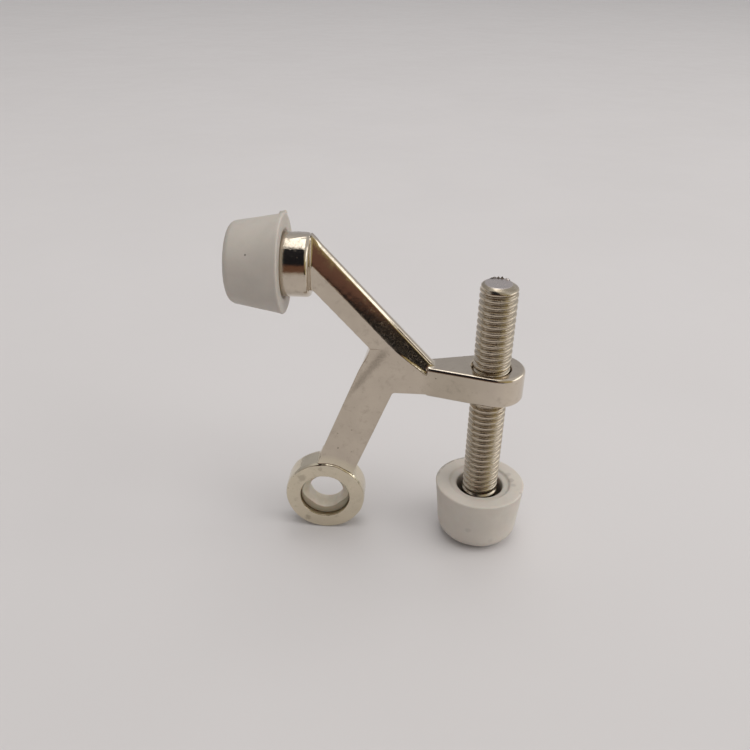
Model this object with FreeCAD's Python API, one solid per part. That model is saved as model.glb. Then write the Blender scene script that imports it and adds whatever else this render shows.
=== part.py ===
"""Hinge-pin door stop: a die-cast Y-shaped body with a pin eye, a rubber bumper and an adjusting screw.

Frame, in millimetres: the origin is the centre of the hinge-pin eye. +Z is up and runs along the
adjusting screw, +X runs from the eye towards the screw, and +Y runs along the hinge pin to the back.
The body is the same on both sides of the plane y = 0.
"""
import FreeCAD, Part
import math
import os

V = FreeCAD.Vector
X_AXIS = V(1, 0, 0)
Y_AXIS = V(0, 1, 0)
Z_AXIS = V(0, 0, 1)
ORIGIN = V(0, 0, 0)
TINY = 1e-3

# Eye that hangs on the hinge pin, and the plain bush inside it
eye_outer_radius = 9.1
eye_half_width = 2.85
eye_bore_radius = 5.68
eye_bevel = 0.35
pin_bore_radius = 4.0
bush_recess = 1.1
bush_lead_in = 0.9
bush_gap = 0.02

# Lower arm, from the eye up to the fork
lower_arm_angle = 68.8
lower_arm_width = 8.3
lower_arm_offset = -0.5
arm_half_thickness = 2.4
facet_depth = 0.4
facet_length = 15.5

# Upper arm, from the lug up to the neck, with a roof-shaped section
upper_arm_angle = 47.5
upper_arm_depth = 7.35
upper_arm_chamfer = 3.72
ridge_half_width_high = 0.75
ridge_half_width_low = 1.2

# Lug that carries the adjusting screw
screw_axis_x = 35.45
lug_underside_z = 27.95
lug_height = 6.78
lug_boss_radius = 6.03
lug_boss_offset = 1.04
lug_root_offset = 13.4
ridge_foot_offset = 11.8
lug_bevel = 0.45
hole_countersink = 0.45

# Web that fills the fork
web_underside_step = 0.45
web_root_drop = 1.6
crotch_radius = 1.0
heel_radius = 0.5

# Neck and stud that carry the bumper
bumper_axis_z = 55.85
bumper_face_x = -7.2
neck_radius = 6.4
neck_face_x = -1.85
neck_edge_radius = 0.85
stud_radius = 3.0
stud_length = 3.6
stud_head_radius = 4.6
stud_head_length = 2.2

# Rubber bumper and rubber screw tip
rubber_gap = 0.05
rubber_recess_radius = 6.9
rubber_recess_depth = 0.9
rubber_rim_bevel = 0.3
rounding_steps = 4
bumper_large_radius = 10.0
bumper_length = 10.95
bumper_taper = 10.2
bumper_end_radius = 1.7
tip_large_radius = 10.05
tip_height = 13.35
tip_taper = 5.5
tip_foot_radius = 2.2
tip_mouth_radius = 5.2

# Adjusting screw: 5/16 inch, 18 threads to the inch
thread_major_radius = 3.97
thread_running_gap = 0.05
screw_end_z = 53.5
screw_end_chamfer = 0.7
screw_head_radius = 6.6
screw_head_length = 3.0
screw_foot_cover = 3.6

# Derived places
floor_z = -eye_outer_radius
lug_top_z = lug_underside_z + lug_height
lug_root_x = screw_axis_x - lug_root_offset
boss_centre_x = screw_axis_x + lug_boss_offset
web_underside_z = lug_underside_z + web_underside_step
neck_top_z = bumper_axis_z + neck_radius
neck_seat_x = bumper_face_x - rubber_recess_depth + rubber_gap
tip_rim_z = floor_z + tip_height
head_z = floor_z + screw_foot_cover
overshoot = 1.0


def direction(angle):
    """Unit vector in the plane y = 0, turned from +X towards +Z by an angle in degrees."""
    return V(math.cos(math.radians(angle)), 0, math.sin(math.radians(angle)))


def prism(points, half_width):
    """Closed outline in the plane y = 0, thickened equally to both sides."""
    outline = [V(p.x, -half_width, p.z) for p in points]
    face = Part.Face(Part.makePolygon(outline + outline[:1]))
    return face.extrude(Y_AXIS * 2 * half_width)


def revolved(profile, centre, axis):
    """Solid of revolution from (distance along the axis, radius) pairs."""
    side = V(0, 1, 0) if axis.y == 0 else V(1, 0, 0)
    points = [centre + axis * along + side * radius for along, radius in profile]
    face = Part.Face(Part.makePolygon(points + points[:1]))
    return face.revolve(centre, axis, 360)


def round_edges(solid, radius, keep):
    """Round the edges of a solid for which keep(edge) is true."""
    chosen = [edge for edge in solid.Edges if keep(edge)]
    return solid.makeFillet(radius, chosen)


def is_circle(edge, radius):
    """True for a circular edge of the given radius."""
    return isinstance(edge.Curve, Part.Circle) and abs(edge.Curve.Radius - radius) < TINY


def make_eye():
    """Ring blank with bevelled outer edges; the bore is cut after the arms are joined on."""
    flat = eye_outer_radius - eye_bevel
    return revolved(
        [
            (-eye_half_width, 0), (-eye_half_width, flat), (eye_bevel - eye_half_width, eye_outer_radius),
            (eye_half_width - eye_bevel, eye_outer_radius), (eye_half_width, flat), (eye_half_width, 0),
        ],
        ORIGIN, Y_AXIS,
    )


def lower_arm_point(along, across):
    """Point of the lower arm: distance up from the eye, and distance from its left side."""
    left_side = lower_arm_offset - lower_arm_width / 2
    return direction(lower_arm_angle) * along + direction(lower_arm_angle - 90) * (left_side + across)


def upper_arm_point(along, below):
    """Point of the upper arm: distance up the ridge from the lug top, and depth below the ridge."""
    foot = V(screw_axis_x - ridge_foot_offset, 0, lug_top_z)
    return foot + direction(180 - upper_arm_angle) * along + direction(-90 - upper_arm_angle) * below


def crossing(p, p_angle, q, q_angle):
    """Where the line through p at one angle meets the line through q at another."""
    d = direction(p_angle)
    e = direction(q_angle)
    gap = q - p
    t = (gap.x * e.z - gap.z * e.x) / (d.x * e.z - d.z * e.x)
    return p + d * t


def fork_crotch():
    """Corner where the underside of the upper arm meets the left side of the lower arm."""
    return crossing(
        lower_arm_point(0, 0), lower_arm_angle,
        upper_arm_point(0, upper_arm_depth), 180 - upper_arm_angle,
    )


def fork_heel():
    """Corner where the right side of the lower arm meets the underside of the web."""
    return crossing(
        lower_arm_point(0, lower_arm_width), lower_arm_angle,
        V(0, 0, web_underside_z), 0,
    )


def fork_shoulder():
    """Point on the lower line of the upper arm's chamfer, level with the crotch."""
    return crossing(
        upper_arm_point(0, upper_arm_chamfer), 180 - upper_arm_angle,
        fork_crotch(), 0,
    )


def make_fork():
    """Lower arm and web in one plate, with a rounded heel."""
    root_top = V(lug_root_x, 0, lug_top_z - web_root_drop)
    heel = fork_heel()
    outline = [
        lower_arm_point(0, 0),
        fork_crotch(),
        fork_shoulder(),
        root_top,
        root_top + X_AXIS * overshoot,
        V(lug_root_x + overshoot, 0, web_underside_z),
        heel,
        lower_arm_point(0, lower_arm_width),
    ]
    plate = prism(outline, arm_half_thickness)
    return round_edges(plate, heel_radius, lambda e: is_across(e, heel))


def facet_cutter(side):
    """Thin wedge that sinks the face between the crotch and the shoulder, dying out down the arm."""
    crotch = fork_crotch()
    foot = crotch - direction(lower_arm_angle) * facet_length
    sunk = crotch + Y_AXIS * side * (arm_half_thickness - facet_depth)
    face_shoulder = fork_shoulder() + Y_AXIS * side * arm_half_thickness
    face_foot = foot + Y_AXIS * side * arm_half_thickness
    beyond = sunk - face_shoulder
    corners = [sunk + beyond, face_shoulder, face_foot, face_foot + beyond]
    facet = Part.Face(Part.makePolygon(corners + corners[:1]))
    return facet.extrude(Y_AXIS * side * overshoot)


def is_across(edge, place):
    """True for an edge that runs along Y through a point of the plane y = 0."""
    box = edge.BoundBox
    runs_across = box.YLength > arm_half_thickness and box.XLength < TINY
    return runs_across and V(box.XMin, 0, box.ZMin).distanceToPoint(place) < TINY


def upper_arm_section(along, ridge_half_width):
    """Roof-shaped cross-section of the upper arm at a distance up the ridge."""
    shape = [
        (ridge_half_width, 0),
        (arm_half_thickness, upper_arm_chamfer),
        (arm_half_thickness, upper_arm_depth),
    ]
    right = [upper_arm_point(along, below) + Y_AXIS * y for y, below in shape]
    left = [upper_arm_point(along, below) - Y_AXIS * y for y, below in reversed(shape)]
    return Part.makePolygon(right + left + right[:1])


def make_upper_arm():
    """Arm lofted between two roof-shaped sections, trimmed at the neck face and the web underside."""
    slope = math.radians(upper_arm_angle)
    foot_x = screw_axis_x - ridge_foot_offset
    rise = (foot_x - neck_face_x) / math.cos(slope)
    run_in = lug_height / math.sin(slope)
    growth = (ridge_half_width_low - ridge_half_width_high) / rise
    high = upper_arm_section(rise + upper_arm_depth, ridge_half_width_high - growth * upper_arm_depth)
    low = upper_arm_section(-run_in, ridge_half_width_low + growth * run_in)
    arm = Part.makeLoft([low, high], True, True)
    width = 2 * (arm_half_thickness + overshoot)
    corner = V(neck_face_x, -width / 2, web_underside_z)
    window = Part.makeBox(arm.BoundBox.XMax - neck_face_x, width, neck_top_z - web_underside_z, corner)
    return arm.common(window)


def lug_outline():
    """Plan of the lug: a narrow root, straight flanks tangent to a round boss."""
    root = V(lug_root_x, arm_half_thickness, 0)
    centre = V(boss_centre_x, 0, 0)
    to_centre = centre - root
    reach = to_centre.Length
    bearing = math.atan2(to_centre.y, to_centre.x)
    flank = bearing + math.asin(lug_boss_radius / reach)
    touch = centre + V(-math.sin(flank), math.cos(flank), 0) * lug_boss_radius
    mirror = V(touch.x, -touch.y, 0)
    tip = V(boss_centre_x + lug_boss_radius, 0, 0)
    arc = Part.Arc(touch, tip, mirror).toShape()
    edges = [
        Part.makeLine(root, touch),
        arc,
        Part.makeLine(mirror, V(root.x, -root.y, 0)),
        Part.makeLine(V(root.x, -root.y, 0), root),
    ]
    return Part.Wire(edges)


def make_lug():
    """Lug plate with bevelled top and bottom rims."""
    face = Part.Face(lug_outline())
    face.translate(Z_AXIS * lug_underside_z)
    plate = face.extrude(Z_AXIS * lug_height)

    def on_rim(edge):
        box = edge.BoundBox
        return box.ZLength < TINY and box.XLength > TINY

    return plate.makeChamfer(lug_bevel, [edge for edge in plate.Edges if on_rim(edge)])


def make_neck():
    """Neck disc with a softened rim, and the headed stud that the bumper is pressed over."""
    centre = V(neck_seat_x, 0, bumper_axis_z)
    neck = Part.makeCylinder(neck_radius, neck_face_x - neck_seat_x, centre, X_AXIS)

    def on_face(edge):
        return is_circle(edge, neck_radius) and edge.BoundBox.XMin > neck_face_x - TINY

    neck = round_edges(neck, neck_edge_radius, on_face)
    stud = Part.makeCylinder(stud_radius, stud_length, centre, X_AXIS * -1)
    under_head = centre - X_AXIS * stud_length
    head = Part.makeCone(stud_head_radius, stud_radius, stud_head_length, under_head, X_AXIS * -1)
    return neck.fuse([stud, head])


def make_cast_body():
    """Whole casting, with the eye bore and the screw hole cut through the joined shapes."""
    solid = make_eye().fuse([make_fork(), make_upper_arm(), make_lug(), make_neck()]).removeSplitter()
    crotch = fork_crotch()
    solid = round_edges(solid, crotch_radius, lambda e: is_across(e, crotch))
    solid = solid.cut(facet_cutter(-1)).cut(facet_cutter(1))
    bore = Part.makeCylinder(
        eye_bore_radius, 2 * (eye_half_width + overshoot), V(0, -eye_half_width - overshoot, 0), Y_AXIS,
    )
    hole_radius = thread_major_radius + thread_running_gap
    flare = hole_radius + hole_countersink
    hole = revolved(
        [
            (-overshoot, 0), (-overshoot, flare), (0, flare), (hole_countersink, hole_radius),
            (lug_height - hole_countersink, hole_radius), (lug_height, flare),
            (lug_height + overshoot, flare), (lug_height + overshoot, 0),
        ],
        V(screw_axis_x, 0, lug_underside_z), Z_AXIS,
    )
    return solid.cut(bore).cut(hole).removeSplitter()


def make_eye_bush():
    """Plain bush that lines the eye, set back from the front face and flush at the back."""
    outer = eye_bore_radius - bush_gap
    front = -eye_half_width + bush_recess
    return revolved(
        [
            (front, outer), (front, pin_bore_radius + bush_lead_in),
            (front + bush_lead_in, pin_bore_radius),
            (eye_half_width, pin_bore_radius), (eye_half_width, outer),
        ],
        ORIGIN, Y_AXIS,
    )


def rubber_outline(length, large_radius, taper, end_rounding):
    """Half outline of a tapered rubber cup, from its large face (0) to its rounded small end."""
    slope = math.radians(taper)
    corner = end_rounding * (1 - math.sin(slope)) / math.cos(slope)
    end_radius = large_radius - length * math.tan(slope)
    outline = [(0, 0), (0, large_radius - rubber_rim_bevel), (rubber_rim_bevel, large_radius)]
    for step in range(rounding_steps + 1):
        turn = math.pi / 2 - slope - (math.pi / 2 - slope) * step / rounding_steps
        along = length - end_rounding + end_rounding * math.cos(turn)
        outline.append((along, end_radius - corner + end_rounding * math.sin(turn)))
    return outline + [(length, 0)]


def make_bumper():
    """Rubber cup on the neck, narrower away from the body, with the stud pocket inside."""
    centre = V(bumper_face_x, 0, bumper_axis_z)
    outline = rubber_outline(bumper_length, bumper_large_radius, bumper_taper, bumper_end_radius)
    body = revolved(outline, centre, X_AXIS * -1)
    hole = stud_radius + rubber_gap
    chamber = stud_head_radius + rubber_gap
    chamber_start = rubber_recess_depth + stud_length - 2 * rubber_gap
    chamber_end = chamber_start + stud_head_length + 2 * rubber_gap
    pocket = revolved(
        [
            (-overshoot, 0), (-overshoot, rubber_recess_radius),
            (rubber_recess_depth, rubber_recess_radius), (rubber_recess_depth, hole),
            (chamber_start, hole), (chamber_start, chamber), (chamber_end, hole), (chamber_end, 0),
        ],
        centre, X_AXIS * -1,
    )
    return body.cut(pocket)


def make_screw():
    """Threaded shank at its outer diameter, with a chamfered free end and a round flat head."""
    return revolved(
        [
            (head_z, 0), (head_z, screw_head_radius), (head_z + screw_head_length, screw_head_radius),
            (head_z + screw_head_length, thread_major_radius),
            (screw_end_z - screw_end_chamfer, thread_major_radius),
            (screw_end_z, thread_major_radius - screw_end_chamfer), (screw_end_z, 0),
        ],
        V(screw_axis_x, 0, 0), Z_AXIS,
    )


def make_screw_tip():
    """Rubber foot that snaps over the screw head; it narrows downwards and is rounded at the floor."""
    rim = V(screw_axis_x, 0, tip_rim_z)
    outline = rubber_outline(tip_height, tip_large_radius, tip_taper, tip_foot_radius)
    body = revolved(outline, rim, Z_AXIS * -1)
    chamber = screw_head_radius + rubber_gap
    chamber_start = tip_rim_z - head_z - screw_head_length - rubber_gap
    chamber_end = tip_rim_z - head_z + rubber_gap
    pocket = revolved(
        [
            (-overshoot, 0), (-overshoot, rubber_recess_radius),
            (rubber_recess_depth, rubber_recess_radius), (rubber_recess_depth, tip_mouth_radius),
            (chamber_start, tip_mouth_radius), (chamber_start, chamber), (chamber_end, chamber),
            (chamber_end, 0),
        ],
        rim, Z_AXIS * -1,
    )
    return body.cut(pocket)


def main():
    """Write one STEP file for each separate piece."""
    os.makedirs("parts", exist_ok=True)
    pieces = {
        "cast_body": make_cast_body(),
        "eye_bush": make_eye_bush(),
        "bumper": make_bumper(),
        "adjusting_screw": make_screw(),
        "screw_tip": make_screw_tip(),
    }
    for name, shape in pieces.items():
        shape.exportStep("parts/" + name + ".step")
        solids = len(shape.Solids)
        print(name, "solids", solids, "valid", shape.isValid(), "volume", round(shape.Volume, 1))


main()
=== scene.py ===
"""Adjustable hinge-pin door stop: bright nickel casting, threaded screw and off-white rubber pads.

The frame is in metres. Sizes in the constants and inside the functions are in millimetres, and mm turns
them into metres. The stage, the lamps and the camera are placed in metres. Angles in constants are in degrees.
"""
import math

import bmesh
import bpy
from mathutils import Matrix, Vector, noise


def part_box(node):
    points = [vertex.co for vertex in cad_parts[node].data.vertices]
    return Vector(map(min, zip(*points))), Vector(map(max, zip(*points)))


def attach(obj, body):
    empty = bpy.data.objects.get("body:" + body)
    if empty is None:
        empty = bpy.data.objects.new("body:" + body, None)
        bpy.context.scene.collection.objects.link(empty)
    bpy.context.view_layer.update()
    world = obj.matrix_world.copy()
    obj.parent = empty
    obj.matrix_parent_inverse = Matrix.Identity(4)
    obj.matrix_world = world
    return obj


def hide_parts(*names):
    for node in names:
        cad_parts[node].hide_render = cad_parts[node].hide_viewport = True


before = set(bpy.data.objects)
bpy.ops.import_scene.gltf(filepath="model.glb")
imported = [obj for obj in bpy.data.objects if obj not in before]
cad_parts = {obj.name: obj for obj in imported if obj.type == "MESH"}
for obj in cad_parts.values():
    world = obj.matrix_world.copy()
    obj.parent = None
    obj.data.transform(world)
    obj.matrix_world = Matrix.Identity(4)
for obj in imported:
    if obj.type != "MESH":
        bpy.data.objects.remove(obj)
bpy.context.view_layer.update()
mm = 0.001


def in_plane(angle):
    """Unit vector in the plane y = 0, turned from +X towards +Z by an angle in degrees."""
    return Vector((math.cos(math.radians(angle)), 0, math.sin(math.radians(angle))))


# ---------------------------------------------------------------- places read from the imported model
eye_low, eye_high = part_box("eye_bush")
cast_low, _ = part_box("cast_body")
screw_low, screw_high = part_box("adjusting_screw")
bumper_low, bumper_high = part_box("bumper")
tip_low, tip_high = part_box("screw_tip")
BUSH_FRONT = eye_low[1] / mm
BUSH_BACK = eye_high[1] / mm
BUSH_OUTER = (eye_high[0] - eye_low[0]) / mm / 2
SCREW_X = (screw_low[0] + screw_high[0]) / 2 / mm
SCREW_FOOT = screw_low[2] / mm
SCREW_TOP = screw_high[2] / mm
BUMPER_FACE_X = bumper_high[0] / mm
BUMPER_Z = (bumper_low[2] + bumper_high[2]) / 2 / mm
BUMPER_LENGTH = (bumper_high[0] - bumper_low[0]) / mm
BUMPER_RADIUS = (bumper_high[2] - bumper_low[2]) / mm / 2
TIP_RIM_Z = tip_high[2] / mm
TIP_LENGTH = (tip_high[2] - tip_low[2]) / mm
TIP_RADIUS = (tip_high[0] - tip_low[0]) / mm / 2

# ---------------------------------------------------------------- sizes
# Casting. The ridge of the upper arm starts at ARM_FOOT on the lug's top.
LUG_TOP = 34.73
ARM_SLOPE = 47.5
ARM_HALF = 2.4
ARM_FOOT = Vector((SCREW_X - 11.8, 0, LUG_TOP))
UPHILL = in_plane(180 - ARM_SLOPE)
OUTWARD = in_plane(90 - ARM_SLOPE)
INWARD = in_plane(-90 - ARM_SLOPE)
RIDGE_HALF = 1.2
RIDGE_TAPER = 0.012
RIDGE_LENGTH = 34.5
RIDGE_CROWN = 0.24
CHAMFER_DEPTH = 3.72
CHAMFER_CROWN = 0.08
LOWER_ARM_ANGLE = 68.8
LOWER_ARM_LEFT = 4.65
LOWER_ARM_DRAFT = 0.42
RING_HALF_WIDTH = 2.85
RING_EDGE_START = 1.9
RING_BEVEL_START = 2.5
RING_EDGE_INNER = 8.1
RING_EDGE_OUTER = 9.3
RING_ROUNDING = 0.25
CAST_VOXEL = 0.15
CAST_SMOOTHING = 9

# Screw
PITCH = 1.411
MAJOR_RADIUS = 3.95
THREAD_DEPTH = 0.60
ROOT_RADIUS = 3.4
CREST_Z = 51.0
THREAD_START = 3.55
THREAD_STOP = SCREW_TOP - 0.3
ROWS_PER_PITCH = 14
SCREW_COLUMNS = 96
HEAD_LENGTH = 3.0
HEAD_RADIUS = 6.55
END_SHIFT = 0.36
END_BEVEL = [
    (-1.00, 3.90), (-0.72, 3.70), (-0.48, 3.46), (-0.26, 3.12), (-0.12, 2.86), (-0.06, 2.76), (-0.02, 2.70),
]
END_BEVEL_FREE = 3  # from this entry on, the bevel is past the last row of the thread
END_FACE = [(-0.02, 2.62), (-0.025, 2.5), (-0.05, 1.4), (-0.06, 0.6)]
BURR_ANGLE = 80

# Rubber pads and bush
RIM_ROUNDING = 0.32
FLANK_SHARES = (0.11, 0.22, 0.33, 0.44, 0.56, 0.67, 0.78, 0.86, 0.89, 0.94)
NIB_ANGLE = 117
NIB_HEIGHT = 0.62
TIP_TILT = 1.8
BUSH_BORE = 4.0
BUSH_COLUMNS = 128

# Marks, each a place, a radius and how strong it is
CAST_SPOTS = [
    ((3.15, -2.4, 13.54), 0.26, 0.8), ((6.2, -2.4, 18.5), 0.3, 0.5), ((-5.15, -2.85, 4.99), 1.3, 0.32),
    ((-4.12, -2.85, -6.47), 1.1, 0.3), ((-0.95, -2.85, 7.81), 0.8, 0.28), ((-8.51, -2.85, 1.88), 0.22, 0.7),
    ((22.0, -3.6, 31.3), 1.2, 0.34), ((27.5, -5.0, 31.0), 0.35, 0.5), ((30.6, -5.6, 30.2), 0.3, 0.45),
]
BUMPER_SPOTS = [((-13.27, -7.62, 60.38), 0.26, 0.75)]
TIP_SPOTS = [
    ((32.9, -9.06, -2.35), 0.9, 0.14), ((38.1, -8.72, -5.24), 0.8, 0.10), ((42.7, 0.9, 4.4), 0.95, 0.24),
    ((42.2, 3.2, 4.4), 0.9, 0.19), ((43.1, -1.0, 4.45), 0.8, 0.20), ((44.4, -3.9, 4.5), 0.6, 0.22),
]
# Ends of the painted shade streak on the sunk facet beside the fork's crotch
STREAK_START = Vector((13.4, 0, 38.7))
STREAK_END = Vector((4.8, 0, 26.2))

# Colours
CAST_TONE = (0.63, 0.557, 0.462)
SCREW_TONE = (0.60, 0.527, 0.424)
PIT_TONE = (0.12, 0.10, 0.08)
# Colour of the painted shade streak on the facet
STREAK_PAINTED_SHADE = (0.23, 0.195, 0.15)
CAST_GRIME = (0.13, 0.11, 0.085)
OIL_TONE = (0.20, 0.16, 0.105)
SHEARED_TONE = (0.585, 0.53, 0.505)
# Darker colour at the back of the screw end's lip
BACK_LIP_DARK_TONE = (0.085, 0.066, 0.05)
# Painted light on the eye's ring; painted shade on the left of the lug's front and painted light on its right
RING_PAINTED_LIGHT_GAIN = (1.17, 1.19, 1.13)
LUG_LEFT_PAINTED_SHADE_GAIN = (0.88, 0.88, 0.86)
LUG_RIGHT_PAINTED_LIGHT_GAIN = (1.08, 1.08, 1.09)
BUMPER_TONE = (0.508, 0.466, 0.416)
TIP_TONE = (0.59, 0.542, 0.482)
HANDLED_TONE = (0.42, 0.38, 0.33)
DUST_TONE = (0.25, 0.23, 0.20)
RUBBER_GRIME = (0.07, 0.06, 0.055)
RIM_GRIME = (0.17, 0.15, 0.125)
NYLON_TONE = (0.66, 0.60, 0.50)
NYLON_WORN = (0.58, 0.52, 0.42)
# Painted shade on the bush's front face, sunk in the eye's recess
NYLON_FRONT_PAINTED_SHADE = (0.225, 0.18, 0.108)
FLOOR_TONE = (0.655, 0.633, 0.632)
FLOOR_CLOUD = (0.642, 0.620, 0.618)
# Painted shade on the floor, far away and close to the camera
FLOOR_PAINTED_SHADE = (0.30, 0.29, 0.29)

# Stage, lamps and camera, in metres and watts
FLOOR_Z = cast_low[2]
FLOOR_HALF = 3.0
SCREEN_RADIUS = 0.20
SCREEN_COLUMNS = 48
SCREEN_ROWS = 24
SCREEN_BEARINGS = (-55, 65)
SCREEN_HEIGHTS = (-15.5, 74.5)
AIM = Vector((0.02, 0.0, 0.03))
LAMP_WATTS = 7.6
SIDE_WATTS = 7.2
FORWARD_WATTS = 6.2
CAMERA_PLACE = (0.0190, -0.13993, 0.11216)
CAMERA_YAW = 3.27
CAMERA_PITCH = 29.97
CAMERA_ROLL = -0.92
CAMERA_LENS = 36.42
CAMERA_SENSOR = 36.0


def smooth(value):
    """Smooth step from 0 to 1."""
    value = min(max(value, 0.0), 1.0)
    return value * value * (3 - 2 * value)


# ---------------------------------------------------------------- node helpers
class Graph:
    """Short calls for building a node tree."""

    def __init__(self, owner):
        """Clear the node tree of a material or a world and build in it."""
        owner.use_nodes = True
        self.tree = owner.node_tree
        self.tree.nodes.clear()

    def add(self, kind, inputs=None, **settings):
        """New node; inputs maps socket names or numbers to values or to other sockets."""
        node = self.tree.nodes.new(kind)
        for name, value in settings.items():
            setattr(node, name, value)
        for key, value in (inputs or {}).items():
            self.put(node.inputs[key], value)
        return node

    def put(self, socket, value):
        """Link or set one input."""
        if isinstance(value, bpy.types.NodeSocket):
            self.tree.links.new(value, socket)
        else:
            socket.default_value = value

    def math(self, operation, a, b=0.0, c=0.0):
        """Output of a Math node."""
        return self.add("ShaderNodeMath", {0: a, 1: b, 2: c}, operation=operation).outputs[0]

    def product(self, *factors):
        """Product of two or more values."""
        result = factors[0]
        for factor in factors[1:]:
            result = self.math("MULTIPLY", result, factor)
        return result

    def scaled(self, value, scale, offset):
        """Value times a scale plus an offset."""
        return self.math("MULTIPLY_ADD", value, scale, offset)

    def vector(self, operation, a, b):
        """Vector output of a Vector Math node."""
        return self.add("ShaderNodeVectorMath", {0: a, 1: b}, operation=operation).outputs["Vector"]

    def measure(self, operation, a, b=(0, 0, 0)):
        """Number output of a Vector Math node: a length, a distance or a dot product."""
        return self.add("ShaderNodeVectorMath", {0: a, 1: b}, operation=operation).outputs["Value"]

    def split(self, vector):
        """X, Y and Z of a vector."""
        return tuple(self.add("ShaderNodeSeparateXYZ", {0: vector}).outputs)

    def ramp(self, factor, stops):
        """Colour ramp from (position, colour) pairs; returns its colour."""
        node = self.add("ShaderNodeValToRGB", {"Fac": factor})
        points = node.color_ramp.elements
        while len(points) > 1:
            points.remove(points[-1])
        for number, (position, colour) in enumerate(stops):
            point = points[0] if number == 0 else points.new(position)
            point.position = position
            point.color = (*colour, 1)
        return node.outputs["Color"]

    def spread(self, value, low, high, to_low=0.0, to_high=1.0):
        """Value mapped smoothly from one range to another."""
        node = self.add(
            "ShaderNodeMapRange",
            {"Value": value, "From Min": low, "From Max": high, "To Min": to_low, "To Max": to_high},
            interpolation_type="SMOOTHSTEP",
        )
        return node.outputs["Result"]

    def spread_linear(self, value, low, high):
        """Value mapped evenly from a range to 0 to 1."""
        node = self.add("ShaderNodeMapRange", {"Value": value, "From Min": low, "From Max": high})
        return node.outputs["Result"]

    def noise(self, vector, scale, detail=3.0, roughness=0.5):
        """Noise from 0 to 1; scale counts features in a millimetre."""
        node = self.add(
            "ShaderNodeTexNoise",
            {"Vector": vector, "Scale": scale, "Detail": detail, "Roughness": roughness},
        )
        return node.outputs["Fac"]

    def mix(self, factor, a, b):
        """Colour mix."""
        node = self.add("ShaderNodeMix", data_type="RGBA")
        self.put(node.inputs["Factor"], factor)
        for socket, value in ((node.inputs[6], a), (node.inputs[7], b)):
            self.put(socket, value if isinstance(value, bpy.types.NodeSocket) else (*value, 1))
        return node.outputs[2]

    def bump(self, shader, strength, depth, height):
        """Give a shader a bump of a depth in mm."""
        node = self.add("ShaderNodeBump", {"Strength": strength, "Distance": depth * mm, "Height": height})
        self.put(shader.inputs["Normal"], node.outputs[0])


def new_material(name, metallic, **fixed):
    """Principled material with its fixed numbers set; returns (material, graph, shader, position in mm)."""
    material = bpy.data.materials.new(name)
    graph = Graph(material)
    shader = graph.add("ShaderNodeBsdfPrincipled", {"Metallic": metallic, **fixed})
    graph.add("ShaderNodeOutputMaterial", {"Surface": shader.outputs[0]})
    place = graph.add("ShaderNodeTexCoord").outputs["Object"]
    millimetres = graph.add("ShaderNodeVectorMath", {0: place, "Scale": 1 / mm}, operation="SCALE")
    return material, graph, shader, millimetres.outputs[0]


def source_of(shader, name):
    """What is linked to a shader's input."""
    return shader.inputs[name].links[0].from_socket


def darker(tone, share):
    """Colour with each channel scaled by a share."""
    return tuple(channel * share for channel in tone)


def with_spots(graph, place, colour, spots, ragged, core, grime):
    """Colour with ragged spots of grime; each is solid over the core share of its radius."""
    for spot, radius, strength in spots:
        away = graph.math("ADD", graph.measure("DISTANCE", place, spot), graph.product(ragged, radius))
        colour = graph.mix(graph.spread(away, radius * core, radius, strength, 0.0), colour, grime)
    return colour


def around_screw(graph, place):
    """X, Y and Z of a place measured from the screw's axis, and its distance from that axis."""
    moved = graph.vector("ADD", place, (-SCREW_X, 0, 0))
    radius = graph.measure("LENGTH", graph.vector("MULTIPLY", moved, (1, 1, 0)))
    return graph.split(moved), radius


# ---------------------------------------------------------------- materials
def nickel(name, tone, roughness, peel, smudge, seed):
    """Bright warm nickel plate: orange peel, finger smudges that dull it, and small pits."""
    material, graph, shader, place = new_material(name, 1.0)
    moved = graph.vector("ADD", place, (seed, 3.7 * seed, -seed))
    clouds = graph.noise(moved, 0.22, 4.0, 0.6)
    blotches = graph.spread(graph.noise(moved, 0.7, 5.0, 0.65), 0.52, 0.72)
    grain = graph.noise(moved, 5.0, 3.0, 0.6)
    cells = graph.add("ShaderNodeTexVoronoi", {"Vector": moved, "Scale": 0.42}, feature="F1")
    pits = graph.spread(cells.outputs["Distance"], 0.03, 0.10, 1.0, 0.0)
    colour = graph.mix(graph.spread(clouds, 0.3, 0.7), tone, darker(tone, 0.93))
    colour = graph.mix(graph.product(blotches, smudge), colour, darker(tone, 0.80))
    colour = graph.mix(graph.product(pits, 0.55), colour, PIT_TONE)
    graph.put(shader.inputs["Base Color"], colour)
    rough = graph.scaled(blotches, 0.18 * smudge, roughness)
    rough = graph.scaled(pits, 0.25, rough)
    graph.put(shader.inputs["Roughness"], graph.scaled(grain, 0.04, rough))
    height = graph.scaled(graph.noise(moved, 0.8, 2.0, 0.5), 3.0, grain)
    graph.bump(shader, peel, 0.010, graph.scaled(pits, -1.5, height))
    return material, graph, shader, place


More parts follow.
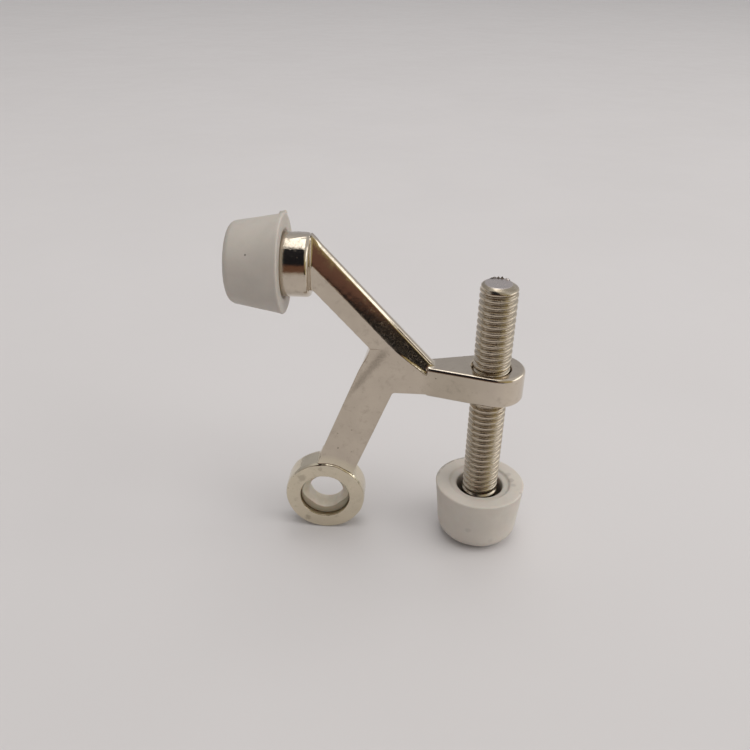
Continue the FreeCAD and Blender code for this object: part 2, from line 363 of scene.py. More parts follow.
def metal_cast():
    """Nickel of the casting: painted shade as a streak on the facet, spots, painted light on the ring, painted
    shade and light across the lug's front, and roughly polished chamfers.
    """
    material, graph, shader, place = nickel("nickel_casting", CAST_TONE, 0.09, 0.9, 0.7, 4.0)
    # Painted shade along the sunk facet
    colour = graph.mix(facet_painted_shade(graph, place), source_of(shader, "Base Color"), STREAK_PAINTED_SHADE)
    ragged = graph.scaled(graph.noise(place, 2.2, 4.0, 0.65), 1.2, -0.55)
    colour = with_spots(graph, place, colour, CAST_SPOTS, ragged, 0.4, CAST_GRIME)
    # Painted light on the ring, painted shade on the lug's left and painted light on its right
    for weight, gain in (
        (ring_painted_light_weight(graph, place), RING_PAINTED_LIGHT_GAIN),
        (lug_painted_light_and_shade_weight(graph, place, 29, 35, 1.0, 0.0), LUG_LEFT_PAINTED_SHADE_GAIN),
        (lug_painted_light_and_shade_weight(graph, place, 33, 38, 0.0, 1.0), LUG_RIGHT_PAINTED_LIGHT_GAIN),
    ):
        colour = graph.mix(weight, colour, graph.vector("MULTIPLY", colour, gain))
    graph.put(shader.inputs["Base Color"], colour)
    rough = graph.scaled(chamfer_speckle(graph, place), 0.15, source_of(shader, "Roughness"))
    graph.put(shader.inputs["Roughness"], rough)
    return material


def ring_painted_light_weight(graph, place):
    """Where painted light brightens the casting: 1 on the eye's ring, fading out on the lower arm."""
    return graph.spread(graph.measure("LENGTH", place), 9.8, 12.0, 1.0, 0.0)


def lug_painted_light_and_shade_weight(graph, place, start, end, before, after):
    """Weight for painted shade and light on the lug below its top, going from one value to another between two
    values of x.
    """
    x, _, z = graph.split(place)
    on_lug = graph.product(graph.spread(x, 20.0, 24.0), graph.spread(z, 34.3, 34.6, 1.0, 0.0))
    return graph.product(graph.spread(x, start, end, before, after), on_lug)


def chamfer_speckle(graph, place):
    """Coarse unpolished speckle on the low end of the upper arm's chamfers."""
    moved = graph.vector("SUBTRACT", place, ARM_FOOT)
    along = graph.measure("DOT_PRODUCT", moved, UPHILL)
    below = graph.measure("DOT_PRODUCT", moved, INWARD)
    face = graph.product(graph.spread(below, 0.5, 1.2), graph.spread(below, 3.4, 3.8, 1.0, 0.0))
    reach = graph.product(graph.spread(along, -1.5, 0.0), graph.spread(along, 12.0, 26.0, 1.0, 0.0))
    speckle = graph.spread(graph.noise(place, 4.5, 4.0, 0.75), 0.48, 0.60)
    return graph.product(face, reach, speckle)


def facet_painted_shade(graph, place):
    """Painted shade: a dark streak along the sunk facet beside the fork's crotch."""
    run = (STREAK_END - STREAK_START).normalized()
    across = Vector((-run.z, 0, run.x))
    moved = graph.vector("SUBTRACT", place, STREAK_START)
    along = graph.measure("DOT_PRODUCT", moved, run)
    aside = graph.math("ABSOLUTE", graph.measure("DOT_PRODUCT", moved, across))
    ragged = graph.scaled(graph.noise(place, 1.3, 5.0, 0.7), 1.6, -0.8)
    width = graph.spread(along, 0.0, 16.0, 1.35, 0.7)
    band = graph.spread(graph.math("DIVIDE", graph.math("ADD", aside, ragged), width), 0.1, 1.1, 1.0, 0.0)
    ends = graph.product(graph.spread(along, -0.8, 1.6), graph.spread(along, 9.0, 17.0, 1.0, 0.0))
    speckle = graph.spread(graph.noise(place, 3.4, 4.0, 0.7), 0.3, 0.7, 0.55, 1.0)
    return graph.product(band, ends, speckle, 0.62)


def metal_screw():
    """Nickel of the screw: rolled thread, duller, old oil in the roots, a sheared end, and darker at the back
    of the end's lip.
    """
    material, graph, shader, place = nickel("nickel_screw", SCREW_TONE, 0.17, 0.8, 0.6, 9.0)
    (_, y, z), radius = around_screw(graph, place)
    root = graph.spread(radius, 3.35, 3.7, 1.0, 0.0)
    oil = graph.product(root, graph.spread(graph.noise(place, 0.9, 3.0), 0.25, 0.6, 0.10, 0.48))
    graph.put(shader.inputs["Roughness"], graph.scaled(oil, 0.22, source_of(shader, "Roughness")))
    colour = graph.mix(oil, source_of(shader, "Base Color"), OIL_TONE)
    sheared = graph.product(
        graph.spread(z, SCREW_TOP - 0.16, SCREW_TOP - 0.06),
        graph.spread(radius, 2.9, 3.2, 1.0, 0.0),
    )
    colour = graph.mix(sheared, colour, SHEARED_TONE)
    # Darker at the back of the end's lip
    dark_back_lip = graph.product(
        graph.spread(y, 1.7, 2.2),
        graph.spread(z, SCREW_TOP - 0.42, SCREW_TOP - 0.2),
        graph.spread(graph.noise(place, 2.6, 3.0), 0.42, 0.52),
    )
    graph.put(shader.inputs["Base Color"], graph.mix(dark_back_lip, colour, BACK_LIP_DARK_TONE))
    return material


def rubber(name, seed, spots, tone, rim_dirt=False):
    """Off-white moulded rubber: faint mottling, handling marks, dust and spots of dirt."""
    material, graph, shader, place = new_material(
        name, 0.0, **{"IOR": 1.5, "Subsurface Weight": 0.12, "Subsurface Scale": 0.8 * mm},
    )
    moved = graph.vector("ADD", place, (seed, -seed, 2 * seed))
    clouds = graph.noise(moved, 0.16, 4.0, 0.6)
    marks = graph.spread(graph.noise(moved, 0.55, 6.0, 0.7), 0.60, 0.78)
    dust = graph.spread(graph.noise(moved, 7.0, 2.0, 0.5), 0.66, 0.78)
    colour = graph.mix(graph.spread(clouds, 0.3, 0.7), tone, darker(tone, 0.92))
    colour = graph.mix(graph.product(marks, 0.30), colour, HANDLED_TONE)
    colour = graph.mix(graph.product(dust, 0.16), colour, DUST_TONE)
    ragged = graph.scaled(graph.noise(place, 1.6, 4.0, 0.65), 1.1, -0.5)
    colour = with_spots(graph, place, colour, spots, ragged, 0.5, RUBBER_GRIME)
    if rim_dirt:
        colour = graph.mix(dirty_rim(graph, place), colour, RIM_GRIME)
    graph.put(shader.inputs["Base Color"], colour)
    graph.put(shader.inputs["Roughness"], graph.spread(graph.noise(moved, 0.5, 4.0), 0.2, 0.8, 0.46, 0.62))
    fine = graph.noise(moved, 9.0, 3.0, 0.6)
    graph.bump(shader, 0.5, 0.012, graph.scaled(graph.noise(moved, 0.9, 3.0), 4.0, fine))
    return material


def dirty_rim(graph, place):
    """Broken line of grime on the outer edge of the tip's rim, at the back on the left."""
    (x, y, z), radius = around_screw(graph, place)
    edge = graph.product(graph.spread(radius, 9.25, 9.6), graph.spread(z, 3.7, 4.0))
    side = graph.product(graph.spread(y, 0.5, 3.5), graph.spread(x, -3.0, 1.0, 1.0, 0.0))
    broken = graph.spread(graph.noise(place, 0.7, 4.0, 0.65), 0.42, 0.56)
    return graph.product(edge, side, broken, 0.6)


def nylon():
    """Milky nylon of the eye's bush, slightly yellowed, its front face darkened with painted shade."""
    material, graph, shader, place = new_material(
        "bush_nylon", 0.0, **{"IOR": 1.53, "Subsurface Weight": 0.25, "Subsurface Scale": 1.2 * mm},
    )
    clouds = graph.noise(place, 0.5, 4.0, 0.6)
    colour = graph.mix(graph.spread(clouds, 0.3, 0.7), NYLON_TONE, NYLON_WORN)
    # Painted shade on the front face, sunk in the eye's recess
    _, y, _ = graph.split(place)
    front_painted_shade = graph.spread(y, BUSH_FRONT + 0.05, BUSH_FRONT + 0.30, 0.75, 0.0)
    graph.put(shader.inputs["Base Color"], graph.mix(front_painted_shade, colour, NYLON_FRONT_PAINTED_SHADE))
    graph.put(shader.inputs["Roughness"], graph.spread(clouds, 0.3, 0.7, 0.30, 0.42))
    graph.bump(shader, 0.4, 0.01, graph.noise(place, 6.0))
    return material


# ---------------------------------------------------------------- mesh helpers
def new_object(name, vertices, faces, material, shade_smooth=True):
    """Mesh object from vertices in metres and faces."""
    mesh = bpy.data.meshes.new(name)
    mesh.from_pydata(vertices, [], faces)
    mesh.validate()
    mesh.polygons.foreach_set("use_smooth", [shade_smooth] * len(mesh.polygons))
    mesh.materials.append(material)
    piece = bpy.data.objects.new(name, mesh)
    bpy.context.scene.collection.objects.link(piece)
    return piece


def ring_quads(ring, following_ring, count):
    """Quads between two rings of vertices, given by their numbers."""
    a, b = ring * count, following_ring * count
    return [(a + s, a + (s + 1) % count, b + (s + 1) % count, b + s) for s in range(count)]


def closed_faces(rings, count):
    """Quads between consecutive rings, and a fan at each end about the two vertices after the rings."""
    faces = []
    for ring in range(rings - 1):
        faces += ring_quads(ring, ring + 1, count)
    start, last = rings * count, (rings - 1) * count
    faces += [(start, (s + 1) % count, s) for s in range(count)]
    faces += [(start + 1, last + s, last + (s + 1) % count) for s in range(count)]
    return faces


# ---------------------------------------------------------------- screw
def thread_radius(z, angle):
    """Radius of the right-hand thread at a height and an angle."""
    turn = (angle + math.pi / 2) / (2 * math.pi)
    phase = (z - CREST_Z) / PITCH - turn
    from_crest = abs((phase + 0.5) % 1.0 - 0.5)
    return MAJOR_RADIUS - THREAD_DEPTH * smooth((from_crest - 0.07) / 0.36)


def end_shift(below, angle):
    """The sheared face lies a little to the left of the screw's axis; below is a height from the end."""
    return -END_SHIFT * smooth((below + 1.1) / 1.0) * math.cos(angle)


def bevel_radius(below):
    """Radius of the soft bevel at a height from the end."""
    for (low, wide), (high, narrow) in zip(END_BEVEL, END_BEVEL[1:]):
        if below <= low:
            return wide
        if below <= high:
            return wide + (narrow - wide) * (below - low) / (high - low)
    return END_BEVEL[-1][1]


def shank_radius(z, angle):
    """Radius of the threaded shank, with its run-in at the bottom and its filled last turns at the end."""
    below = z - SCREW_TOP
    radius = thread_radius(z, angle)
    radius = ROOT_RADIUS + (radius - ROOT_RADIUS) * smooth((z - THREAD_START) / 0.8)
    filled = smooth((below + 2.3) / 1.9)
    radius += (MAJOR_RADIUS - 0.12 - radius) * filled * 0.75
    return min(radius, bevel_radius(below) + end_shift(below, angle))


def burr(angle):
    """Torn lip left by the shear, at the back of the end."""
    back = math.exp(-((math.degrees(angle) - BURR_ANGLE) / 40) ** 4)
    ragged = noise.noise(Vector((math.cos(angle) * 9, math.sin(angle) * 9, 1.7)))
    crumbs = noise.noise(Vector((math.cos(angle) * 23, math.sin(angle) * 23, 5.2)))
    return back * (0.17 + 0.42 * max(ragged, -0.3) + 0.42 * max(crumbs, -0.3))


def screw_piece():
    """Threaded screw with its bevelled, slightly burred end, an unthreaded neck and its hidden round head."""
    head_top = SCREW_FOOT + HEAD_LENGTH
    # Head with its edges broken, neck, and the collar that ends in the groove under the thread
    turned = [
        (SCREW_FOOT + 0.02, HEAD_RADIUS - 0.35), (SCREW_FOOT + 0.3, HEAD_RADIUS),
        (head_top - 0.3, HEAD_RADIUS), (head_top, HEAD_RADIUS - 0.35), (head_top + 0.01, 3.75),
        (2.75, 3.75), (2.85, 3.93), (3.05, 3.96), (3.18, 3.90), (3.25, 3.4), (3.5, 3.38),
    ]
    vertices = []

    def ring(z, radius_at, lift_at=lambda angle: 0.0):
        for column in range(SCREW_COLUMNS):
            angle = 2 * math.pi * column / SCREW_COLUMNS
            radius = radius_at(angle)
            x, y = SCREW_X + radius * math.cos(angle), radius * math.sin(angle)
            vertices.append((x * mm, y * mm, (z + lift_at(angle)) * mm))

    for z, radius in turned:
        ring(z, lambda angle: radius)
    rows = int((THREAD_STOP - THREAD_START) / PITCH * ROWS_PER_PITCH)
    for row in range(rows + 1):
        z = THREAD_START + (THREAD_STOP - THREAD_START) * row / rows
        ring(z, lambda angle: shank_radius(z, angle))
    for below, radius in END_BEVEL[END_BEVEL_FREE:]:
        ring(SCREW_TOP + below, lambda angle: radius + 0.10 * burr(angle) + end_shift(below, angle), burr)
    for below, radius in END_FACE:
        ring(SCREW_TOP + below, lambda angle: radius + end_shift(below, angle))
    rings = len(vertices) // SCREW_COLUMNS
    vertices.append((SCREW_X * mm, 0, SCREW_FOOT * mm))
    vertices.append((SCREW_X * mm, 0, (SCREW_TOP - 0.07) * mm))
    return new_object("threaded_screw", vertices, closed_faces(rings, SCREW_COLUMNS), metal_screw())


# ---------------------------------------------------------------- rubber pads
def arc(centre, radius, start, end, steps):
    """Points of an arc in the (along, radius) half plane, angles in degrees."""
    points = []
    for step in range(steps + 1):
        angle = math.radians(start + (end - start) * step / steps)
        points.append((centre[0] + radius * math.cos(angle), centre[1] + radius * math.sin(angle)))
    return points


def pad_profile(length, large, taper, foot_rounding, inside):
    """Half outline of a tapered pad, from the middle of its small end round to its pocket."""
    slope = math.radians(taper)
    corner = foot_rounding * (1 - math.sin(slope)) / math.cos(slope)
    small = large - length * math.tan(slope) - corner
    outline = [(length, 0.8), (length, small * 0.4), (length, small * 0.8)]
    outline += arc((length - foot_rounding, small), foot_rounding, 0, 90 - taper, 8)
    shoulder = outline[-1]
    edge = (RIM_ROUNDING, large - RIM_ROUNDING * math.tan(slope) - 0.01)
    for share in FLANK_SHARES:
        outline.append((
            shoulder[0] + (edge[0] - shoulder[0]) * share,
            shoulder[1] + (edge[1] - shoulder[1]) * share,
        ))
    outline += arc((RIM_ROUNDING, large - RIM_ROUNDING), RIM_ROUNDING, 90 - taper / 2, 180, 5)
    return outline + inside


def pad_piece(name, profile, place, ripple, material, count=120):
    """Turned pad with slight moulding ripple; place maps (along, radius, angle) to a point in mm."""
    vertices = []

    def add(point):
        vertices.append(tuple(part * mm for part in point))

    for along, radius in profile:
        for column in range(count):
            angle = 2 * math.pi * column / count
            wave = noise.noise(Vector((math.cos(angle) * 1.5, math.sin(angle) * 1.5, along * 0.25)))
            add(place(along, radius + ripple * wave * min(radius / 6, 1), angle))
    add(place(profile[0][0], 0, 0))
    add(place(profile[-1][0], 0, 0))
    piece = new_object(name, vertices, closed_faces(len(profile), count), material)
    mesh = bmesh.new()
    mesh.from_mesh(piece.data)
    bmesh.ops.recalc_face_normals(mesh, faces=mesh.faces)
    mesh.to_mesh(piece.data)
    mesh.free()
    return piece


def bumper_piece():
    """Bumper on the neck: moulded cup with a flash nib on its rim."""
    # Rim, shallow recess, then the pocket for the neck's stud and its head
    inside = [
        (0.0, 9.2), (0.0, 7.6), (0.02, 7.15), (0.09, 6.98), (0.22, 6.86), (0.36, 6.74), (0.44, 6.6),
        (0.52, 6.5), (0.62, 6.46), (0.88, 6.45), (0.885, 3.1), (4.3, 3.06), (4.4, 4.62), (6.6, 3.3),
        (6.65, 1.0),
    ]
    profile = pad_profile(BUMPER_LENGTH, BUMPER_RADIUS, 10.2, 1.7, inside)
    nib_angle = math.radians(NIB_ANGLE)

    def place(along, radius, angle):
        nib = math.exp(-((angle - nib_angle) / 0.05) ** 4)
        nib *= smooth((radius - 9.3) / 0.3) * smooth((1.62 - along) / 0.25)
        radius += NIB_HEIGHT * nib - 0.05
        height = BUMPER_Z + min(math.sin(angle) * radius, BUMPER_RADIUS)
        return BUMPER_FACE_X - along, -math.cos(angle) * radius, height

    material = rubber("rubber_bumper", 2.0, BUMPER_SPOTS, BUMPER_TONE)
    return pad_piece("bumper_rubber", profile, place, 0.035, material, 240)


def tip_piece():
    """Rubber foot of the screw: sunk ring and open mouth around the screw."""
    # Rim, sunk ring, mouth, then the pocket for the screw's head
    inside = [
        (0.0, 9.0), (0.0, 7.6), (0.03, 7.15), (0.10, 6.98), (0.22, 6.86), (0.42, 6.72), (0.52, 6.4),
        (0.60, 5.75), (0.66, 5.48), (0.76, 5.34), (0.95, 5.26), (1.3, 5.22), (6.65, 5.22), (6.7, 6.64),
        (9.8, 6.64), (9.82, 1.0),
    ]
    profile = pad_profile(TIP_LENGTH, TIP_RADIUS, 5.5, 3.5, inside)
    tilt = math.radians(-TIP_TILT)

    def place(along, radius, angle):
        radius -= 0.04
        x = SCREW_X + math.cos(angle) * radius
        y = math.sin(angle) * radius
        z = TIP_RIM_Z - along
        # The rubber sits a little askew on the screw's head; its pocket stays square to the screw
        askew = max(smooth((radius - 6.7) / 0.6), smooth((1.6 - along) / 0.8))
        if along > TIP_LENGTH - 0.01:
            askew = 1.0
        from_y, from_z = y - TIP_RADIUS, -along
        turned_y = from_y * math.cos(tilt) - from_z * math.sin(tilt) + TIP_RADIUS
        turned_z = from_y * math.sin(tilt) + from_z * math.cos(tilt) + TIP_RIM_Z
        return x, y + (turned_y - y) * askew, z + (turned_z - z) * askew

    material = rubber("rubber_tip", 6.0, TIP_SPOTS, TIP_TONE, True)
    return pad_piece("tip_rubber", profile, place, 0.05, material)


# ---------------------------------------------------------------- bush
def bush_piece():
    """Bush of the eye: closed ring with its edges just broken, and a mouth worn a little uneven."""
    front, back, outer, bore = BUSH_FRONT, BUSH_BACK, BUSH_OUTER, BUSH_BORE
    outline = [
        (front + 0.12, outer - 0.01), (front + 0.02, outer - 0.1), (front, outer - 0.25),
        (front, bore + 0.28), (front + 0.03, bore + 0.16), (front + 0.13, bore + 0.04), (front + 0.28, bore),
        (front + 0.7, bore), (front + 1.1, bore), (front + 1.5, bore), (back - 1.0, bore),
        (back - 0.28, bore), (back - 0.13, bore + 0.04), (back - 0.03, bore + 0.16), (back, bore + 0.28),
        (back, outer - 0.25), (back - 0.02, outer - 0.1), (back - 0.12, outer - 0.01),
    ]
    vertices = []
    for along, radius in outline:
        for column in range(BUSH_COLUMNS):
            angle = 2 * math.pi * column / BUSH_COLUMNS
            uneven = noise.noise(Vector((math.cos(angle) * 2.2, math.sin(angle) * 2.2, along * 0.6)))
            inner = 1 - smooth((radius - bore - 0.2) / 0.2)
            lip = 1 - smooth((along - front - 0.2) / 0.9)
            out = radius + inner * (0.02 + 0.10 * lip) * uneven
            # The mouth is flared at the top and sides and square at the bottom
            flare = smooth((math.cos(angle) + 0.75) / 0.9) * max(1 - (along - front) / 1.5, 0)
            widest = outer - 0.15
            out = max(out, min(bore + flare * (widest - bore), widest))
            vertices.append((math.sin(angle) * out * mm, along * mm, math.cos(angle) * out * mm))
    faces = []
    for ring in range(len(outline)):
        faces += ring_quads(ring, (ring + 1) % len(outline), BUSH_COLUMNS)
    return new_object("bush_rubbed", vertices, faces, nylon())


# ---------------------------------------------------------------- casting
def casting_piece(material):
    """The casting with every edge softened by polishing, made from the CAD node's own shape."""
    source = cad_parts["cast_body"]
    piece = bpy.data.objects.new("nickel_casting", source.data.copy())
    bpy.context.scene.collection.objects.link(piece)
    piece.matrix_world = source.matrix_world.copy()
    weld = piece.modifiers.new("weld", "WELD")
    weld.merge_threshold = 0.002 * mm
    remesh = piece.modifiers.new("remesh", "REMESH")
    remesh.mode = "VOXEL"
    remesh.voxel_size = CAST_VOXEL * mm
    remesh.use_smooth_shade = True
    soften = piece.modifiers.new("soften", "SMOOTH")
    soften.factor = 0.5
    soften.iterations = CAST_SMOOTHING
    depsgraph = bpy.context.evaluated_depsgraph_get()
    made = bpy.data.meshes.new_from_object(piece.evaluated_get(depsgraph))
    piece.modifiers.clear()
    piece.data = made
    made.materials.clear()
    made.materials.append(material)
    made.polygons.foreach_set("use_smooth", [True] * len(made.polygons))
    for vertex in made.vertices:
        place = Vector(vertex.co) / mm
        moves = chamfer_crown(place) + lower_arm_draft(place) + ring_edge(place) + ridge_crown(place)
        vertex.co = (place + moves) * mm
    return piece


def on_upper_arm(place):
    """How far a place is uphill along the arm and inward from its ridge, and half the ridge's width there."""
    along = (place - ARM_FOOT).dot(UPHILL)
    below = (place - ARM_FOOT).dot(INWARD)
    return along, below, RIDGE_HALF - RIDGE_TAPER * along


def chamfer_crown(place):
    """Polishing has left the upper arm's chamfers slightly crowned; returns how far a point moves."""
    _, below, half_ridge = on_upper_arm(place)
    share = below / CHAMFER_DEPTH
    if not 0 < share < 1:
        return Vector((0, 0, 0))
    on_face = half_ridge + (ARM_HALF - half_ridge) * share
    near = 1 - smooth(abs(abs(place.y) - on_face) / 0.45)
    lean = (ARM_HALF - half_ridge) / CHAMFER_DEPTH
    side = math.copysign(1, place.y)
    outward = (Vector((0, side, 0)) + OUTWARD * lean).normalized()
    return outward * CHAMFER_CROWN * 4 * share * (1 - share) * near


def ridge_crown(place):
    """Polishing has rounded the upper arm's flat ridge; returns how far a point moves."""
    along, below, half_ridge = on_upper_arm(place)
    if not (-0.4 < below < 1.6 and abs(place.y) < half_ridge + 0.6):
        return Vector((0, 0, 0))
    ends = smooth((along - 0.2) / 1.0) * (1 - smooth((along - RIDGE_LENGTH) / 1.5))
    drop = RIDGE_CROWN * min(abs(place.y) / half_ridge, 1) ** 2 * (1 - smooth(below / 0.55)) * ends
    return OUTWARD * -drop


def lower_arm_draft(place):
    """The left side of the lower arm leans with the mould's draft; returns how far a point moves."""
    up = in_plane(LOWER_ARM_ANGLE)
    right = in_plane(LOWER_ARM_ANGLE - 90)
    along = place.dot(up)
    across = place.dot(right) + LOWER_ARM_LEFT
    weight = smooth((along - 9.4) / 1.2) * (1 - smooth((along - 33) / 5.5)) * (1 - smooth(across / 4))
    return right * (LOWER_ARM_DRAFT * place.y / ARM_HALF) * weight


def ring_edge(place):
    """The eye's outer edges are polished round, unevenly; returns how far a point moves."""
    radius = math.hypot(place.x, place.z)
    if not RING_EDGE_INNER < radius < RING_EDGE_OUTER or abs(place.y) < RING_EDGE_START:
        return Vector((0, 0, 0))
    out = Vector((place.x, 0, place.z)) / radius
    uneven = 1 + 0.8 * noise.noise(out * 4.0 + Vector((0, place.y, 0)))
    share = (abs(place.y) - RING_EDGE_START) / (RING_HALF_WIDTH - RING_EDGE_START)
    # The CAD bevel is filled out again and then rounded off
    bevel = max(abs(place.y) - RING_BEVEL_START, 0)
    rounding = RING_ROUNDING * uneven * share * share
    return out * (bevel - rounding) * smooth((radius - RING_EDGE_INNER) / 0.6)


# ---------------------------------------------------------------- stage, light and camera
def floor_material():
    """Matt pale sheet, with painted shade that makes it a little dimmer far away and close to the camera."""
    material, graph, shader, place = new_material("pale_floor", 0.0, **{"IOR": 1.45})
    cloud = graph.noise(place, 0.01, 3.0)
    colour = graph.mix(graph.spread(cloud, 0.3, 0.7), FLOOR_TONE, FLOOR_CLOUD)
    # Painted shade: dimmer far away and close to the camera
    away = graph.measure("DISTANCE", place, (20, 100, 0))
    colour = graph.mix(graph.spread(away, 150, 800, 0.0, 0.05), colour, FLOOR_PAINTED_SHADE)
    _, y, _ = graph.split(place)
    colour = graph.mix(graph.spread(y, -140, 80, 0.15, 0.0), colour, FLOOR_PAINTED_SHADE)
    graph.put(shader.inputs["Base Color"], colour)
    graph.put(shader.inputs["Roughness"], graph.spread(graph.noise(place, 0.05, 4.0), 0.2, 0.8, 0.42, 0.55))
    return material


def build_floor():
    """Flat floor under the object."""
    half = FLOOR_HALF
    corners = [(-half, -half, FLOOR_Z), (half, -half, FLOOR_Z), (half, half, FLOOR_Z), (-half, half, FLOOR_Z)]
    floor = new_object("floor", corners, [(0, 1, 2, 3)], floor_material(), False)


def screen_material():
    """What stands in front of the object in the room, as bands by height and bearing in degrees."""
    material = bpy.data.materials.new("room_front")
    graph = Graph(material)
    degree = math.pi / 180
    x, y, z = graph.split(graph.add("ShaderNodeTexCoord").outputs["Object"])
    bearing = graph.math("DIVIDE", graph.math("ARCTAN2", x, graph.product(y, -1.0)), degree)
    distance = graph.math("SQRT", graph.math("ADD", graph.math("POWER", x, 2.0), graph.math("POWER", y, 2.0)))
    height = graph.math("DIVIDE", graph.math("ARCTANGENT", graph.math("DIVIDE", z, distance)), degree)
    # Straight ahead and to the left: the pale table, then brown, then the dark room up to the ceiling
    ahead = graph.ramp(
        graph.spread_linear(height, -20, 80),
        [
            (0.0, (0.52, 0.49, 0.47)), (0.13, (0.46, 0.42, 0.38)), (0.16, (0.16, 0.085, 0.055)),
            (0.38, (0.14, 0.07, 0.045)), (0.41, (0.012, 0.012, 0.015)), (0.92, (0.016, 0.016, 0.02)),
            (0.98, (0.5, 0.48, 0.45)),
        ],
    )
    # To the right: dark with a brown band, and khaki past a slanting edge
    dark = graph.mix(graph.spread(height, 1.0, 7.5), (0.013, 0.012, 0.012), (0.155, 0.078, 0.058))
    dark = graph.mix(graph.spread(height, 24, 34), dark, (0.03, 0.028, 0.028))
    khaki = graph.ramp(
        graph.spread_linear(height, -10, 70),
        [
            (0.0, (0.40, 0.33, 0.14)), (0.4, (0.46, 0.39, 0.20)), (0.6, (0.44, 0.39, 0.28)),
            (1.0, (0.4, 0.38, 0.35)),
        ],
    )
    past_edge = graph.math("ADD", bearing, graph.scaled(height, 0.47, -37.6))
    right = graph.mix(graph.spread(past_edge, -0.7, 0.7), dark, khaki)
    colour = graph.mix(graph.spread(bearing, 10, 14), ahead, right)
    emission = graph.add("ShaderNodeEmission", {"Color": colour, "Strength": 1.0})
    graph.add("ShaderNodeOutputMaterial", {"Surface": emission.outputs[0]})
    return material


def build_screen():
    """Curved screen in front of the object that only mirror-like reflections can see."""
    first_bearing, last_bearing = SCREEN_BEARINGS
    first_height, last_height = SCREEN_HEIGHTS
    vertices = []
    for row in range(SCREEN_ROWS + 1):
        tilt = math.radians(first_height + (last_height - first_height) * row / SCREEN_ROWS)
        out, z = SCREEN_RADIUS * math.cos(tilt), SCREEN_RADIUS * math.sin(tilt)
        for column in range(SCREEN_COLUMNS + 1):
            share = column / SCREEN_COLUMNS
            bearing = math.radians(first_bearing + (last_bearing - first_bearing) * share)
            vertices.append((out * math.sin(bearing), -out * math.cos(bearing), z))
    faces = []
    for row in range(SCREEN_ROWS):
        for column in range(SCREEN_COLUMNS):
            a = row * (SCREEN_COLUMNS + 1) + column
            b = a + SCREEN_COLUMNS + 1
            faces.append((a, a + 1, b + 1, b))
    screen = new_object("room_front", vertices, faces, screen_material(), False)
    screen.location = (0.012, 0, 0.045)
    screen.visible_camera = False
    screen.visible_diffuse = False
    screen.visible_shadow = False
    screen.visible_transmission = False
    screen.visible_volume_scatter = False


def area_lamp(name, place, width, depth, watts, colour):
    """Rectangular lamp aimed at the object."""
    lamp = bpy.data.lights.new(name, "AREA")
    lamp.shape = "RECTANGLE"
    lamp.size = width
    lamp.size_y = depth
    lamp.energy = watts
    lamp.color = colour
    holder = bpy.data.objects.new(name, lamp)
    bpy.context.scene.collection.objects.link(holder)
    holder.location = place
    holder.rotation_euler = (AIM - holder.location).to_track_quat("-Z", "Y").to_euler()
    return holder


def soft_fill(name, place, watts):
    """Large soft lamp that lights matt surfaces and is not seen in the metal."""
    holder = area_lamp(name, place, 1.2, 1.2, watts, (1.0, 0.985, 0.97))
    holder.visible_glossy = False


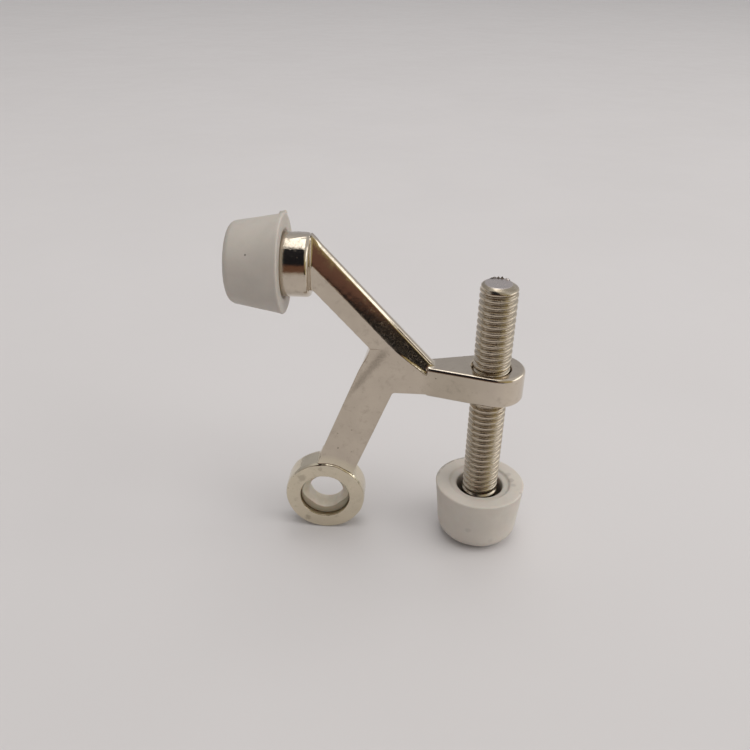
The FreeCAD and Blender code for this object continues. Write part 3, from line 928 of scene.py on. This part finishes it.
def build_room():
    """Pale room: lighter above and to the right, dimmer to the left, with a bright pane low on the right."""
    world = bpy.data.worlds.new("room")
    graph = Graph(world)
    x, y, z = graph.split(graph.add("ShaderNodeTexCoord").outputs["Generated"])
    colour = graph.mix(graph.spread(y, -0.7, 0.3), (0.40, 0.388, 0.380), (0.455, 0.452, 0.468))
    colour = graph.mix(graph.spread(z, 0.5, 0.85), colour, (0.65, 0.64, 0.63))
    colour = graph.mix(graph.spread(x, 0.1, 0.95), colour, (0.62, 0.615, 0.605))
    colour = graph.mix(graph.spread(x, -0.9, -0.2, 0.55, 0.0), colour, (0.29, 0.28, 0.275))
    pane = graph.product(graph.spread(x, 0.79, 0.87), graph.spread(z, 0.17, 0.27))
    colour = graph.mix(pane, colour, (2.1, 2.06, 2.0))
    seen = graph.add("ShaderNodeLightPath").outputs["Is Camera Ray"]
    colour = graph.mix(seen, colour, (0.60, 0.58, 0.57))
    around = graph.add("ShaderNodeBackground", {"Color": colour, "Strength": 1.0})
    graph.add("ShaderNodeOutputWorld", {"Surface": around.outputs[0]})
    bpy.context.scene.world = world


def build_camera():
    """Camera looking down at the object from the front, as a hand-held close-up."""
    yaw = math.radians(CAMERA_YAW)
    pitch = math.radians(CAMERA_PITCH)
    roll = math.radians(CAMERA_ROLL)
    forward = Vector((-math.sin(yaw) * math.cos(pitch), math.cos(yaw) * math.cos(pitch), -math.sin(pitch)))
    right = Vector((math.cos(yaw), math.sin(yaw), 0))
    down = forward.cross(right)
    rolled_right = right * math.cos(roll) + down * math.sin(roll)
    rolled_down = down * math.cos(roll) - right * math.sin(roll)
    turned = Matrix((rolled_right, -rolled_down, -forward)).transposed()
    data = bpy.data.cameras.new("camera")
    data.lens = CAMERA_LENS
    data.sensor_width = CAMERA_SENSOR
    data.clip_start = 0.005
    data.clip_end = 20.0
    camera = bpy.data.objects.new("camera", data)
    bpy.context.scene.collection.objects.link(camera)
    camera.matrix_world = Matrix.Translation(CAMERA_PLACE) @ turned.to_4x4()
    bpy.context.scene.camera = camera


def finish_pieces():
    """Build the visible pieces, attach each one to its body and hide the CAD node it stands in for."""
    cast = casting_piece(metal_cast())
    screw = screw_piece()
    bumper = bumper_piece()
    tip = tip_piece()
    bush = bush_piece()
    for piece, body, node, slot in (
        (bush, "body", "eye_bush", "bush_plastic"),
        (cast, "body", "cast_body", "nickel_casting"),
        (bumper, "body", "bumper", "white_rubber"),
        (screw, "screw", "adjusting_screw", "nickel_screw"),
        (tip, "tip", "screw_tip", "white_rubber"),
    ):
        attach(piece, body)
        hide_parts(node)


bpy.context.scene.view_settings.view_transform = "Standard"
build_floor()
build_screen()
area_lamp("overhead", (0.0, 0.42, 2.2), 0.85, 1.75, LAMP_WATTS, (1.0, 0.975, 0.94))
soft_fill("side", (1.3, -0.3, 1.1), SIDE_WATTS)
soft_fill("forward", (0.1, -0.6, 2.0), FORWARD_WATTS)
build_room()
build_camera()
finish_pieces()
